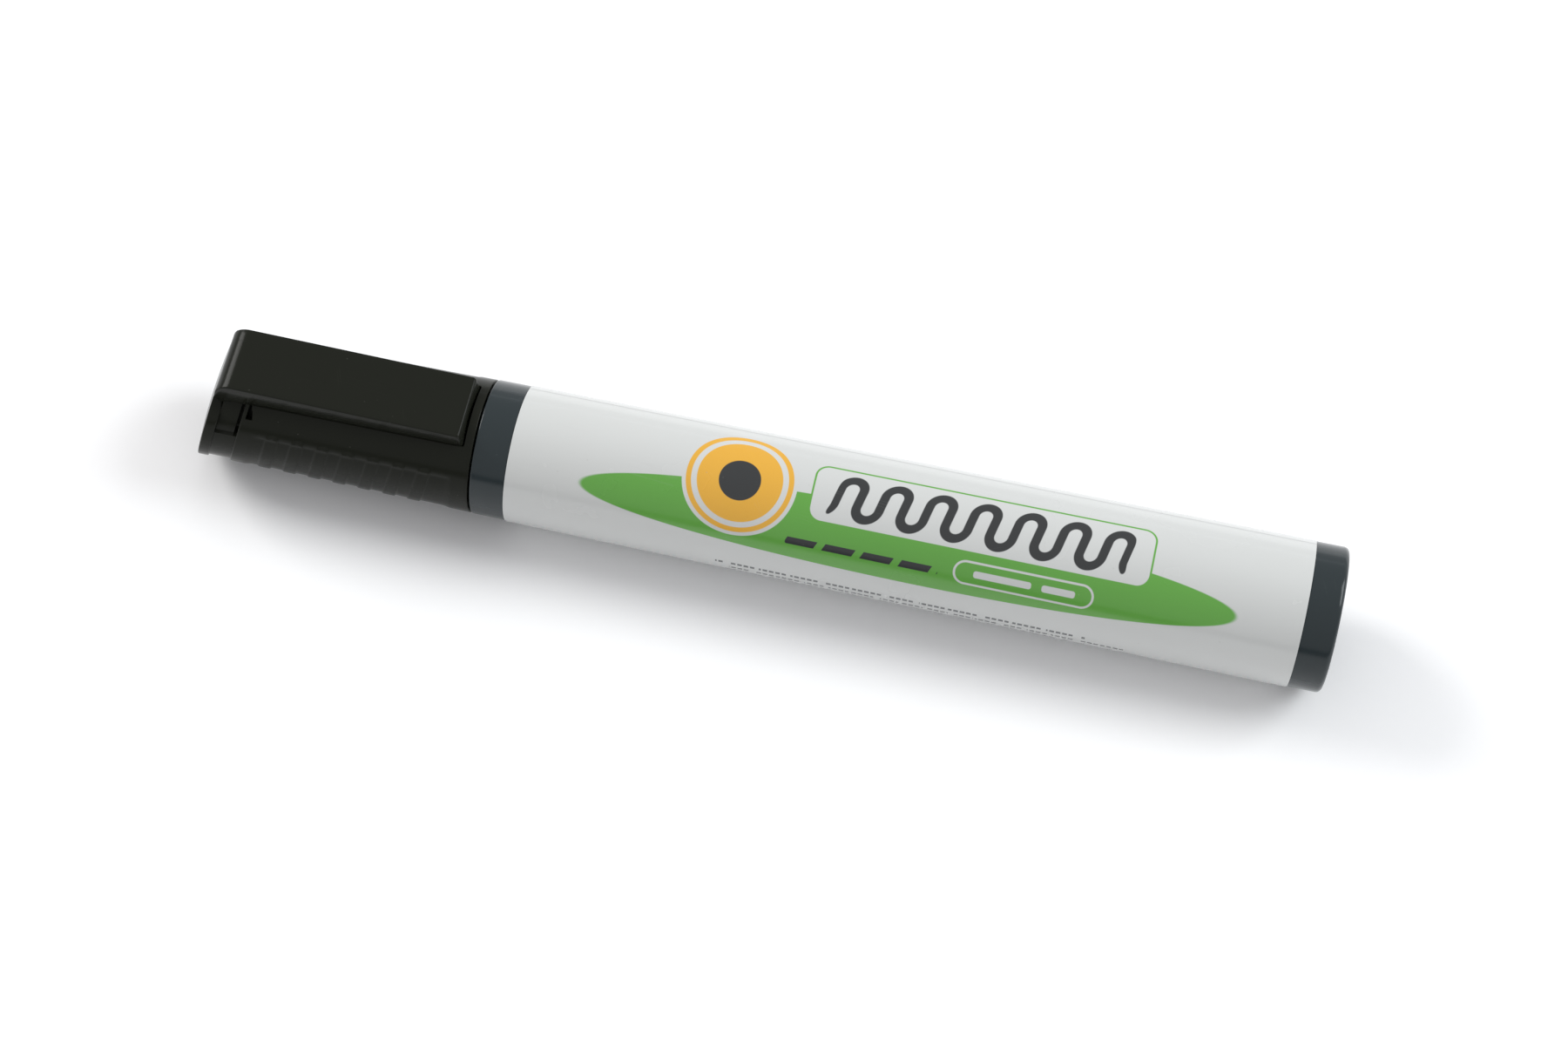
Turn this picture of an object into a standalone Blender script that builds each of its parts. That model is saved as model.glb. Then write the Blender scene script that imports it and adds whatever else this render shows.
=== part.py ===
"""Capped felt tip marker lying on its side: barrel with wrap label, ink core, nib, and cap with a clip.

The pen's axis runs along X with the cap at -X, the clip faces +Z, and the origin is on the resting surface,
under the middle of the pen. Stations are millimetres along the axis from the label's front edge, towards
the tail, and heights are millimetres above the axis.
"""
import math

import bmesh
import bpy
from mathutils import Matrix, Vector

MM = 0.001
SEGMENTS = 56           # facets round the outer pieces
CORE_SEGMENTS = 36      # facets round the inner pieces
GAP = 0.3               # air between neighbouring pieces
EDGE_CHAMFER = 0.15     # on the barrel's and the cap's meeting edges

# Taper of the whole pen: the radius grows towards the tail.
LABEL_FRONT_RADIUS = 8.0
TAPER = 0.00555         # mm of radius for each mm of station

# Barrel and label.
LABEL_LENGTH = 91.4
LABEL_THICKNESS = 0.4
LABEL_PROUD = 0.06      # how far the label stands above the bare bands
SHOULDER_STATION = -4.05
TAIL_STATION = 95.3
TAIL_FILLET = 0.8
BORE_RADIUS = 6.25

# Ink core and tail plug.
RESERVOIR_RADIUS = 5.2
RESERVOIR_SPAN = (9.0, 84.0)
WRAP_THICKNESS = 0.4
SOCKET_DEPTH = 6.0
PLUG_DEPTH = 8.0
PLUG_WALL = 1.4
PLUG_CHAMFER = 0.2
PLUG_LEAD_IN = (0.5, 0.3)   # along the axis, and off the radius

# Nib and its holder.
NIB_RADIUS = 2.3
NIB_TIP_STATION = -23.0
NIB_ROUND = 2.6
NIB_REAR_CHAMFER = 0.4
HOLDER_MOUTH_STATION = -19.5
HOLDER_MOUTH_RADIUS = 3.1
SEAL_RADIUS = 4.2
SEAL_SPAN = (-14.5, -11.0)
NECK_RADIUS = 5.0
NECK_END_STATION = -10.5
HOLDER_REAR_STATION = 8.4

# Cap shell and inner cap.
MOUTH_STATION = SHOULDER_STATION - GAP
CAP_BORE_RADIUS = 5.4
CAP_BORE_END = -28.8
INNER_CAP_SPAN = (-28.4, -11.6)
INNER_CAP_WALL = 0.6
INNER_CAP_END_WALL = 0.8
INNER_CAP_CORNER = 0.4
INNER_CAP_LEAD_IN = (0.3, 0.1)   # along the axis, and off the bore's radius
CAP_TAPER = 0.0105
SLANT = 0.24            # the closed end leans: mm of station for each mm of height
BODY_END_STATION = -32.5
CHANNEL_FLOOR = 6.3
CHANNEL_REAR = -5.0
SLOT_FLOOR = 3.0
CAP_REACH = 12.0        # guides run this far from the axis, past the whole cap
GUIDE_FRONT = -48.0
END_NECK_RADIUS = 7.15
END_PLATE_STATION = -35.8
END_PLATE_THICKNESS = 1.2
END_DOME = 0.45
NECK_OVERLAP = 0.8      # how far the neck runs into the cap's body

# Grip ribs on the cap's lower side.
RIB_COUNT = 7
RIB_FIRST_STATION = -28.35
RIB_PITCH = 3.0
RIB_WIDTH = 1.7
RIB_HEIGHT = 0.12
RIB_TOP = 3.9           # height at which the ribs end on both sides
RIB_ROOT = 0.6          # depth from a rib's crest to its root, inside the cap's wall
RIB_FLARE = 0.2

# Pocket clip.
CLIP_WIDTH = 7.8
CLIP_UNDERSIDE = 6.75   # height of the clip's flat underside, just above the channel's floor
CLIP_TOP = 8.8          # height of the top face at the middle station
CLIP_MIDDLE = -20.0
CLIP_SLOPE = -0.034     # the clip comes closer to the cap towards its tip
CLIP_TIP_STATION = -5.35
CLIP_ROOT_STATION = -30.4
CLIP_HINGE_DEPTH = 0.775  # below the top face, where the clip flexes at its root
CLIP_TIP_BEVEL = 0.6
FOLD_RADIUS = 2.4
FOLD_INNER_RADIUS = 0.8
FOLD_FOOT = 4.0         # height at which the fold's strip starts on the end plate


def outer_radius(station):
    """Radius of the label's outer surface, or of its line continued over the cap."""
    return LABEL_FRONT_RADIUS + TAPER * station


def band_radius(station):
    """Radius of the bare barrel bands and of the cap."""
    return outer_radius(station) - LABEL_PROUD


def cap_radius(station):
    return band_radius(MOUTH_STATION) + CAP_TAPER * (station - MOUTH_STATION)


def clip_top(station):
    return CLIP_TOP + CLIP_SLOPE * (station - CLIP_MIDDLE)


def end_face(station_at_axis, height):
    """Station of a leaning end face at a height above the axis."""
    return station_at_axis + SLANT * height


AXIS_HEIGHT = outer_radius(LABEL_LENGTH)
END_RADIUS = cap_radius(END_PLATE_STATION)
CAP_TIP_STATION = end_face(END_PLATE_STATION, -END_RADIUS)
MIDDLE_STATION = (CAP_TIP_STATION + TAIL_STATION) / 2
PEN_FRAME = Matrix.Translation(Vector((-MIDDLE_STATION, 0, AXIS_HEIGHT)) * MM) @ Matrix.Scale(MM, 4)
LEAN = Matrix(((1, 0, SLANT, 0), (0, 1, 0, 0), (0, 0, 1, 0), (0, 0, 0, 1)))


def material(name, colour, roughness, metallic=0.0):
    finish = bpy.data.materials.new(name)
    finish.use_nodes = True
    shader = finish.node_tree.nodes["Principled BSDF"]
    shader.inputs["Base Color"].default_value = (*colour, 1.0)
    shader.inputs["Roughness"].default_value = roughness
    shader.inputs["Metallic"].default_value = metallic
    return finish


def place(name, work, finish=None, smooth_angle=30):
    """Put a bmesh, drawn in pen stations and heights, into the scene as a named object."""
    bmesh.ops.remove_doubles(work, verts=work.verts, dist=1e-5)
    bmesh.ops.dissolve_degenerate(work, edges=work.edges, dist=1e-6)
    bmesh.ops.recalc_face_normals(work, faces=work.faces)
    if work.calc_volume(signed=True) < 0:
        bmesh.ops.reverse_faces(work, faces=work.faces)
    bmesh.ops.transform(work, matrix=PEN_FRAME, verts=work.verts)
    mesh = bpy.data.meshes.new(name)
    work.to_mesh(mesh)
    work.free()
    mesh.shade_smooth()
    mesh.set_sharp_from_angle(angle=math.radians(smooth_angle))
    piece = bpy.data.objects.new(name, mesh)
    bpy.context.collection.objects.link(piece)
    if finish:
        mesh.materials.append(finish)
    return piece


def set_origin(piece, station, height):
    """Move a piece's origin to a point on its joint's axis, leaving its shape where it is."""
    point = PEN_FRAME @ Vector((station, 0, height))
    piece.data.transform(Matrix.Translation(-point))
    piece.location = point


def turned(name, profile, finish=None, segments=SEGMENTS, leaning=False, turn=0.0):
    """Revolve (station, radius) points round the pen's axis. A profile off the axis is a closed loop.

    A leaning piece is sheared along the axis, so that its end faces slant while its outline stays round.
    A turned start keeps the facets of two pieces that are joined from lying on each other.
    """
    work = bmesh.new()
    corners = [work.verts.new((station, 0, radius)) for station, radius in profile]
    edges = [work.edges.new(pair) for pair in zip(corners, corners[1:])]
    if profile[0][1] > 0:
        edges.append(work.edges.new((corners[-1], corners[0])))
    bmesh.ops.spin(work, geom=corners + edges, cent=(0, 0, 0), axis=(1, 0, 0),
                   angle=math.tau, steps=segments, use_merge=True)
    bmesh.ops.transform(work, matrix=Matrix.Rotation(turn, 4, "X"), verts=work.verts)
    if leaning:
        bmesh.ops.transform(work, matrix=LEAN, verts=work.verts)
    return place(name, work, finish)


def prism(name, outline, half_width, finish=None):
    """Extrude a (station, height) outline to both sides of the pen's middle plane."""
    work = bmesh.new()
    corners = [work.verts.new((station, -half_width, height)) for station, height in outline]
    side = work.faces.new(corners)
    wall = bmesh.ops.extrude_face_region(work, geom=[side])["geom"]
    moved = [item for item in wall if isinstance(item, bmesh.types.BMVert)]
    bmesh.ops.translate(work, verts=moved, vec=(0, 2 * half_width, 0))
    return place(name, work, finish)


def arc(centre, radius, start, end, steps):
    """Points on a circle in the pen's middle plane, between two angles in degrees."""
    points = []
    for step in range(steps + 1):
        angle = math.radians(start + (end - start) * step / steps)
        points.append((centre[0] + radius * math.cos(angle), centre[1] + radius * math.sin(angle)))
    return points


def combine(piece, tool, operation):
    """Cut, keep or join with a second solid, which stays in the scene as a hidden guide."""
    change = piece.modifiers.new(tool.name, "BOOLEAN")
    change.operation = operation
    change.solver = "EXACT"
    change.object = tool
    tool.hide_render = True
    tool.display_type = "WIRE"


def make_barrel(finish):
    front = SHOULDER_STATION
    recess = (-GAP, LABEL_LENGTH + GAP)
    floor_drop = LABEL_THICKNESS + GAP
    fillet_centre = (TAIL_STATION - TAIL_FILLET, band_radius(TAIL_STATION) - TAIL_FILLET)
    profile = [
        (front, BORE_RADIUS), (front, band_radius(front) - EDGE_CHAMFER),
        (front + EDGE_CHAMFER, band_radius(front)),
        (recess[0], band_radius(0)), (recess[0], outer_radius(0) - floor_drop),
        (recess[1], outer_radius(LABEL_LENGTH) - floor_drop), (recess[1], band_radius(LABEL_LENGTH)),
        *arc(fillet_centre, TAIL_FILLET, 90, 0, 4), (TAIL_STATION, BORE_RADIUS),
    ]
    return turned("barrel", profile, finish)


def make_label(finish):
    front, rear = outer_radius(0), outer_radius(LABEL_LENGTH)
    profile = [(0, front - LABEL_THICKNESS), (0, front),
               (LABEL_LENGTH, rear), (LABEL_LENGTH, rear - LABEL_THICKNESS)]
    return turned("label", profile, finish)


def make_rear_plug(finish):
    radius = BORE_RADIUS - GAP
    front = TAIL_STATION - PLUG_DEPTH
    profile = [
        (TAIL_STATION, 0), (TAIL_STATION, radius - PLUG_CHAMFER), (TAIL_STATION - PLUG_CHAMFER, radius),
        (front + PLUG_LEAD_IN[0], radius), (front, radius - PLUG_LEAD_IN[1]),
        (front, radius - PLUG_WALL), (TAIL_STATION - PLUG_WALL, radius - PLUG_WALL),
        (TAIL_STATION - PLUG_WALL, 0),
    ]
    return turned("rear_plug", profile, finish, CORE_SEGMENTS)


def make_reservoir(finish):
    front, rear = RESERVOIR_SPAN
    socket = NIB_RADIUS + GAP
    profile = [
        (front + SOCKET_DEPTH, 0), (front + SOCKET_DEPTH, socket), (front, socket), (front, RESERVOIR_RADIUS),
        (rear, RESERVOIR_RADIUS), (rear, 0),
    ]
    return turned("ink_reservoir", profile, finish, CORE_SEGMENTS)


def make_reservoir_wrap(finish):
    front, rear = RESERVOIR_SPAN[0] + GAP, RESERVOIR_SPAN[1] - GAP
    inner = RESERVOIR_RADIUS + GAP
    outer = inner + WRAP_THICKNESS
    profile = [(front, inner), (front, outer), (rear, outer), (rear, inner)]
    return turned("reservoir_wrap", profile, finish, CORE_SEGMENTS)


def make_nib(finish):
    rear = RESERVOIR_SPAN[0] + SOCKET_DEPTH - GAP
    profile = [(NIB_TIP_STATION, 0)]
    steps = 6
    for step in range(1, steps + 1):
        angle = math.pi / 2 * step / steps
        profile.append((NIB_TIP_STATION + NIB_ROUND * (1 - math.cos(angle)), NIB_RADIUS * math.sin(angle)))
    profile += [(rear - NIB_REAR_CHAMFER, NIB_RADIUS), (rear, NIB_RADIUS - NIB_REAR_CHAMFER), (rear, 0)]
    return turned("nib", profile, finish, CORE_SEGMENTS)


def make_nib_holder(finish):
    bore = NIB_RADIUS + GAP
    plug = BORE_RADIUS - GAP
    profile = [
        (HOLDER_MOUTH_STATION, bore), (HOLDER_MOUTH_STATION, HOLDER_MOUTH_RADIUS),
        (SEAL_SPAN[0], SEAL_RADIUS), (SEAL_SPAN[1], SEAL_RADIUS),
        (NECK_END_STATION, NECK_RADIUS), (SHOULDER_STATION, NECK_RADIUS),
        (SHOULDER_STATION, plug), (HOLDER_REAR_STATION, plug), (HOLDER_REAR_STATION, bore),
    ]
    return turned("nib_holder", profile, finish, CORE_SEGMENTS)


def make_inner_cap(finish):
    closed, mouth = INNER_CAP_SPAN
    outer = CAP_BORE_RADIUS - GAP
    inner = outer - INNER_CAP_WALL
    floor = closed + INNER_CAP_END_WALL
    profile = [
        (closed, 0), (closed, outer - INNER_CAP_CORNER), (closed + INNER_CAP_CORNER, outer), (mouth, outer),
        (mouth, inner + INNER_CAP_LEAD_IN[1]), (mouth - INNER_CAP_LEAD_IN[0], inner),
        (floor, inner), (floor, 0),
    ]
    return turned("inner_cap", profile, finish, CORE_SEGMENTS)


def block_above(name, height):
    """A block over the whole cap, whose underside is at a height above the axis."""
    outline = [(GUIDE_FRONT, height), (0, height), (0, CAP_REACH), (GUIDE_FRONT, CAP_REACH)]
    return prism(name, outline, CAP_REACH)


def make_end_neck():
    """Short neck under the slot that joins the cap's body to its end plate."""
    front, rear = END_PLATE_STATION + END_PLATE_THICKNESS / 2, BODY_END_STATION + NECK_OVERLAP
    profile = [(front, 0), (front, END_NECK_RADIUS), (rear, END_NECK_RADIUS), (rear, 0)]
    neck = turned("end_neck_guide", profile, leaning=True)
    combine(neck, block_above("end_neck_top", SLOT_FLOOR), "DIFFERENCE")
    return neck


def make_end_disc():
    """End plate with a slightly domed outer face."""
    profile = []
    steps = 4
    for step in range(steps + 1):
        share = step / steps
        profile.append((END_PLATE_STATION - END_DOME * (1 - share ** 2), END_RADIUS * share))
    rear = END_PLATE_STATION + END_PLATE_THICKNESS
    profile += [(rear, END_RADIUS), (rear, 0)]
    return turned("end_disc_guide", profile, leaning=True)


def make_fold():
    """The strip that rises from the end plate, turns over the rounded fold and thickens towards the clip."""
    lean = math.degrees(math.atan(SLANT))
    pitch = math.degrees(math.atan(CLIP_SLOPE))
    root = CLIP_ROOT_STATION - GAP
    top = clip_top(root)
    height = clip_top(end_face(END_PLATE_STATION, CLIP_TOP)) - FOLD_RADIUS
    centre = (end_face(END_PLATE_STATION, height) + FOLD_RADIUS / math.cos(math.radians(lean)), height)
    plate_rear = END_PLATE_STATION + END_PLATE_THICKNESS
    inner_height = CLIP_UNDERSIDE - FOLD_INNER_RADIUS
    inner_centre = (end_face(plate_rear, inner_height) + FOLD_INNER_RADIUS / math.cos(math.radians(lean)),
                    inner_height)
    outline = [
        (end_face(END_PLATE_STATION, FOLD_FOOT), FOLD_FOOT),
        *arc(centre, FOLD_RADIUS, 180 - lean, 90 + pitch, 6),
        (root, top), (root, CLIP_UNDERSIDE),
        *arc(inner_centre, FOLD_INNER_RADIUS, 90, 180 - lean, 4),
        (end_face(plate_rear, FOLD_FOOT), FOLD_FOOT),
    ]
    return prism("fold_guide", outline, CLIP_WIDTH / 2)


def make_rib(number):
    """One raised band round the lower side of the cap, which leans like the cap's end."""
    station = RIB_FIRST_STATION + RIB_PITCH * number
    crest = cap_radius(station) + RIB_HEIGHT
    foot = crest - RIB_ROOT
    foot_half, crest_half = RIB_WIDTH / 2 + RIB_FLARE, RIB_WIDTH / 2 - RIB_FLARE
    profile = [(station - foot_half, foot), (station - crest_half, crest),
               (station + crest_half, crest), (station + foot_half, foot)]
    rib = turned(f"rib_guide_{number + 1}", profile, leaning=True, turn=math.pi / SEGMENTS)
    combine(rib, block_above(f"rib_top_{number + 1}", RIB_TOP), "DIFFERENCE")
    return rib


def make_cap_shell(finish):
    front = end_face(BODY_END_STATION, -CAP_REACH)
    profile = [
        (front, 0), (front, cap_radius(front)), (MOUTH_STATION - EDGE_CHAMFER, cap_radius(MOUTH_STATION)),
        (MOUTH_STATION, cap_radius(MOUTH_STATION) - EDGE_CHAMFER), (MOUTH_STATION, CAP_BORE_RADIUS),
        (CAP_BORE_END, CAP_BORE_RADIUS), (CAP_BORE_END, 0),
    ]
    shell = turned("cap_shell", profile, finish)
    end_cut = [(GUIDE_FRONT, -CAP_REACH), (front, -CAP_REACH),
               (end_face(BODY_END_STATION, CAP_REACH), CAP_REACH), (GUIDE_FRONT, CAP_REACH)]
    combine(shell, prism("body_end_guide", end_cut, CAP_REACH), "DIFFERENCE")
    channel_cut = [(GUIDE_FRONT, CHANNEL_FLOOR), (CHANNEL_REAR, CHANNEL_FLOOR),
                   (CHANNEL_REAR, CAP_REACH), (GUIDE_FRONT, CAP_REACH)]
    combine(shell, prism("channel_guide", channel_cut, CLIP_WIDTH / 2 + GAP), "DIFFERENCE")
    for number in range(RIB_COUNT):
        combine(shell, make_rib(number), "UNION")
    combine(shell, make_end_neck(), "UNION")
    combine(shell, make_end_disc(), "UNION")
    combine(shell, make_fold(), "UNION")
    return shell


def make_pocket_clip(finish):
    root, tip = CLIP_ROOT_STATION, CLIP_TIP_STATION
    outline = [
        (root, CLIP_UNDERSIDE), (tip, CLIP_UNDERSIDE),
        (tip, clip_top(tip) - CLIP_TIP_BEVEL), (tip - CLIP_TIP_BEVEL, clip_top(tip)), (root, clip_top(root)),
    ]
    clip = prism("pocket_clip", outline, CLIP_WIDTH / 2, finish)
    set_origin(clip, root - GAP / 2, clip_top(root) - CLIP_HINGE_DEPTH)
    return clip


def main():
    for item in list(bpy.data.objects):
        bpy.data.objects.remove(item, do_unlink=True)
    slate = material("barrel_slate", (0.045, 0.062, 0.072), 0.28)
    white_film = material("label_film", (0.78, 0.80, 0.82), 0.25)
    black = material("cap_black", (0.016, 0.018, 0.015), 0.34)
    holder_black = material("holder_black", (0.02, 0.02, 0.02), 0.4)
    natural = material("inner_cap_natural", (0.72, 0.72, 0.68), 0.45)
    fibre = material("reservoir_fibre", (0.10, 0.11, 0.13), 0.95)
    film = material("wrap_film", (0.75, 0.78, 0.80), 0.2)
    felt = material("nib_felt", (0.03, 0.03, 0.035), 0.95)
    make_barrel(slate)
    make_label(white_film)
    make_rear_plug(slate)
    make_reservoir(fibre)
    make_reservoir_wrap(film)
    make_nib_holder(holder_black)
    make_nib(felt)
    make_inner_cap(natural)
    make_cap_shell(black)
    make_pocket_clip(black)


main()
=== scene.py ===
import math

import bmesh
import bpy
from mathutils import Matrix, Vector, noise


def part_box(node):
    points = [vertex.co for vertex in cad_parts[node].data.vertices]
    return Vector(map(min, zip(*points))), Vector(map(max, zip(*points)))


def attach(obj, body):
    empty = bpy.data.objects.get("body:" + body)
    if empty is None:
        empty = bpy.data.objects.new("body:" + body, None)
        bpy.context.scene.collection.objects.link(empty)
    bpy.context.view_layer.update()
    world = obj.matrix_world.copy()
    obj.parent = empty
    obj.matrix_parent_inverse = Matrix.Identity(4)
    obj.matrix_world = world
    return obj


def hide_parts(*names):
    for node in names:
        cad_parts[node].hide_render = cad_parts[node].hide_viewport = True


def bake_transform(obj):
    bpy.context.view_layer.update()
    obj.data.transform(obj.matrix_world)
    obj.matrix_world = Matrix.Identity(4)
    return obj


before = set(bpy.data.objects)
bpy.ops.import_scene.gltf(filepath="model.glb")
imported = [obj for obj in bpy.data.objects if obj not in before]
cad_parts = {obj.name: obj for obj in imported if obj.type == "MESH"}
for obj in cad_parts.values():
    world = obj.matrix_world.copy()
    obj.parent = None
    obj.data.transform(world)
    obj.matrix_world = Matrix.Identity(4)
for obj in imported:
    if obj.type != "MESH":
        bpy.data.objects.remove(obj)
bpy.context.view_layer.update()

# Pieces are drawn in millimetres: "along" runs on the pen's axis from the label's front edge to the
# tail, y goes across, and "up" is the height above the axis. penToFrame puts them in place.
mm = 0.001
labelLow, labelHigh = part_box("label")
axisHeight = (labelLow.z + labelHigh.z) / 2
penToFrame = Matrix.Translation((labelLow.x, 0, axisHeight)) @ Matrix.Scale(mm, 4)


def span(node):
    # first and last place of a CAD node along the pen, in millimetres
    low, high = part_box(node)
    return (low.x - labelLow.x) / mm, (high.x - labelLow.x) / mm


def reach(node):
    # largest radius of a round CAD node, in millimetres
    low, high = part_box(node)
    return (high.y - low.y) / 2 / mm


labelEnd = span("label")[1]
shoulder, tailEnd = span("barrel")
capMouth = span("cap_shell")[1]
penSizes = {
    "frontRadius": 8.0, "rearRadius": reach("label"), "bandDrop": 0.10, "capDrop": 0.04, "capTaper": 0.0105,
}
penTaper = (penSizes["rearRadius"] - penSizes["frontRadius"]) / labelEnd


def labelRadius(along):
    return penSizes["frontRadius"] + penTaper * along


def bandRadius(along):
    return labelRadius(along) - penSizes["bandDrop"]


def capRadius(along):
    return bandRadius(capMouth) - penSizes["capDrop"] + penSizes["capTaper"] * (along - capMouth)


def smoothStep(low, high, value):
    share = min(max((value - low) / (high - low), 0), 1)
    return share * share * (3 - 2 * share)


def evenSteps(start, end, count):
    return [start + (end - start) * step / count for step in range(count + 1)]


def roundedProfile(corners, segments=4):
    # corners are (along, radius, rounding); a rounding of 0 leaves the corner sharp
    points = []
    for index, (along, radius, rounding) in enumerate(corners):
        here = Vector((along, radius))
        if not rounding:
            points.append(here)
            continue
        before = Vector(corners[index - 1][:2]) - here
        after = Vector(corners[(index + 1) % len(corners)][:2]) - here
        before.normalize()
        after.normalize()
        half = before.angle(after) / 2
        centre = here + (before + after).normalized() * rounding / math.sin(half)
        first = here + before * rounding / math.tan(half) - centre
        last = here + after * rounding / math.tan(half) - centre
        start = math.atan2(first.y, first.x)
        turn = math.remainder(math.atan2(last.y, last.x) - start, math.tau)
        for step in range(segments + 1):
            angle = start + turn * step / segments
            points.append(centre + Vector((math.cos(angle), math.sin(angle))) * rounding)
    return points


def turned(corners, columns, fineEdges=()):
    # spins a profile round the pen's axis; fineEdges are (low along, high along, cuts) for its outer line
    work = bmesh.new()
    points = roundedProfile(corners)
    verts = [work.verts.new((point.x, 0, point.y)) for point in points]
    edges = [work.edges.new(pair) for pair in zip(verts, verts[1:])]
    if points[0].y > 0:
        edges.append(work.edges.new((verts[-1], verts[0])))
    for low, high, cuts in fineEdges:
        long = [edge for edge in edges if edge.is_valid and edge.calc_length() > (high - low) * 0.9
                and min(vert.co.x for vert in edge.verts) > low - 0.5
                and max(vert.co.x for vert in edge.verts) < high + 0.5]
        outer = max(long, key=lambda edge: sum(vert.co.z for vert in edge.verts))
        bmesh.ops.subdivide_edges(work, edges=[outer], cuts=cuts)
        edges = list(work.edges)
    bmesh.ops.spin(work, geom=list(work.verts) + list(work.edges), cent=(0, 0, 0), axis=(1, 0, 0),
                   angle=math.tau, steps=columns, use_merge=True)
    bmesh.ops.remove_doubles(work, verts=work.verts, dist=1e-4)
    bmesh.ops.recalc_face_normals(work, faces=work.faces)
    return work


def pushIn(work, faces, depth):
    # sinks a patch of a round piece towards its axis, with straight walls
    pushed = bmesh.ops.extrude_face_region(work, geom=faces)["geom"]
    for vert in pushed:
        if isinstance(vert, bmesh.types.BMVert):
            share = 1 - depth / math.hypot(vert.co.y, vert.co.z)
            vert.co.y *= share
            vert.co.z *= share
    bmesh.ops.delete(work, geom=faces, context="FACES")


def finishPiece(name, work, looks, body, nodes, smoothAngle=40):
    bmesh.ops.transform(work, matrix=penToFrame, verts=work.verts)
    if work.calc_volume(signed=True) < 0:
        bmesh.ops.reverse_faces(work, faces=work.faces)
    openEdges = sum(not edge.is_manifold for edge in work.edges)
    mesh = bpy.data.meshes.new(name)
    work.to_mesh(mesh)
    work.free()
    mesh.shade_smooth()
    mesh.set_sharp_from_angle(angle=math.radians(smoothAngle))
    mesh.materials.append(looks)
    piece = bpy.data.objects.new(name, mesh)
    bpy.context.scene.collection.objects.link(piece)
    if body:
        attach(piece, body)
    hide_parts(*nodes)
    print("made", name, len(mesh.vertices), "points,", openEdges, "open edges")
    return piece


def aroundTop(vert):
    # angle from the top of the pen towards the side that faces the viewer, -Y
    return math.atan2(-vert.co.y, vert.co.z)


def calc(tree, operation, first, second=None, clamp=False):
    node = tree.nodes.new("ShaderNodeMath")
    node.operation = operation
    node.use_clamp = clamp
    for socket, value in zip(node.inputs, (first, second)):
        if isinstance(value, bpy.types.NodeSocket):
            tree.links.new(value, socket)
        elif value is not None:
            socket.default_value = value
    return node.outputs[0]


def mixColour(tree, share, first, second):
    node = tree.nodes.new("ShaderNodeMix")
    node.data_type = "RGBA"
    for socket, value in ((node.inputs[0], share), (node.inputs[6], first), (node.inputs[7], second)):
        if isinstance(value, bpy.types.NodeSocket):
            tree.links.new(value, socket)
        elif isinstance(value, tuple):
            socket.default_value = (*value, 1)
        else:
            socket.default_value = value
    return node.outputs[2]


def fade(tree, value, low, high):
    # 0 at low, 1 at high
    node = tree.nodes.new("ShaderNodeMapRange")
    node.interpolation_type = "SMOOTHSTEP"
    tree.links.new(value, node.inputs["Value"])
    node.inputs["From Min"].default_value = low
    node.inputs["From Max"].default_value = high
    return node.outputs["Result"]


def remap(tree, value, low, high):
    # low where the value is 0, high where it is 1
    node = tree.nodes.new("ShaderNodeMapRange")
    tree.links.new(value, node.inputs["Value"])
    node.inputs["To Min"].default_value = low
    node.inputs["To Max"].default_value = high
    return node.outputs["Result"]


def noiseOn(tree, place, scale, detail=2.0, stretch=(1, 1, 1), rough=0.5):
    mapping = tree.nodes.new("ShaderNodeMapping")
    mapping.inputs["Scale"].default_value = stretch
    tree.links.new(place, mapping.inputs["Vector"])
    node = tree.nodes.new("ShaderNodeTexNoise")
    tree.links.new(mapping.outputs[0], node.inputs["Vector"])
    if isinstance(scale, bpy.types.NodeSocket):
        tree.links.new(scale, node.inputs["Scale"])
    else:
        node.inputs["Scale"].default_value = scale
    node.inputs["Detail"].default_value = detail
    node.inputs["Roughness"].default_value = rough
    return node.outputs["Fac"]


def newGroup(name, inputs, outputs):
    tree = bpy.data.node_groups.new(name, "ShaderNodeTree")
    for label, kind, value in inputs:
        socket = tree.interface.new_socket(label, in_out="INPUT", socket_type=kind)
        if value is not None:
            socket.default_value = value
    for label, kind in outputs:
        tree.interface.new_socket(label, in_out="OUTPUT", socket_type=kind)
    return tree, tree.nodes.new("NodeGroupInput").outputs, tree.nodes.new("NodeGroupOutput").inputs


def useGroup(tree, group, **values):
    node = tree.nodes.new("ShaderNodeGroup")
    node.node_tree = group
    for label, value in values.items():
        if isinstance(value, bpy.types.NodeSocket):
            tree.links.new(value, node.inputs[label])
        else:
            node.inputs[label].default_value = value
    return node.outputs


def makePenPlace():
    # where a point lies on the pen: millimetres along it, and radians round it from the top
    tree, inputs, outputs = newGroup(
        "penPlace", [], [("Along", "NodeSocketFloat"), ("Around", "NodeSocketFloat")])
    place = tree.nodes.new("ShaderNodeTexCoord").outputs["Object"]
    split = tree.nodes.new("ShaderNodeSeparateXYZ")
    tree.links.new(place, split.inputs[0])
    along = calc(tree, "DIVIDE", calc(tree, "SUBTRACT", split.outputs[0], labelLow.x), mm)
    across = calc(tree, "MULTIPLY", split.outputs[1], -1)
    up = calc(tree, "SUBTRACT", split.outputs[2], axisHeight)
    tree.links.new(along, outputs["Along"])
    tree.links.new(calc(tree, "ARCTAN2", across, up), outputs["Around"])
    return tree


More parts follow.
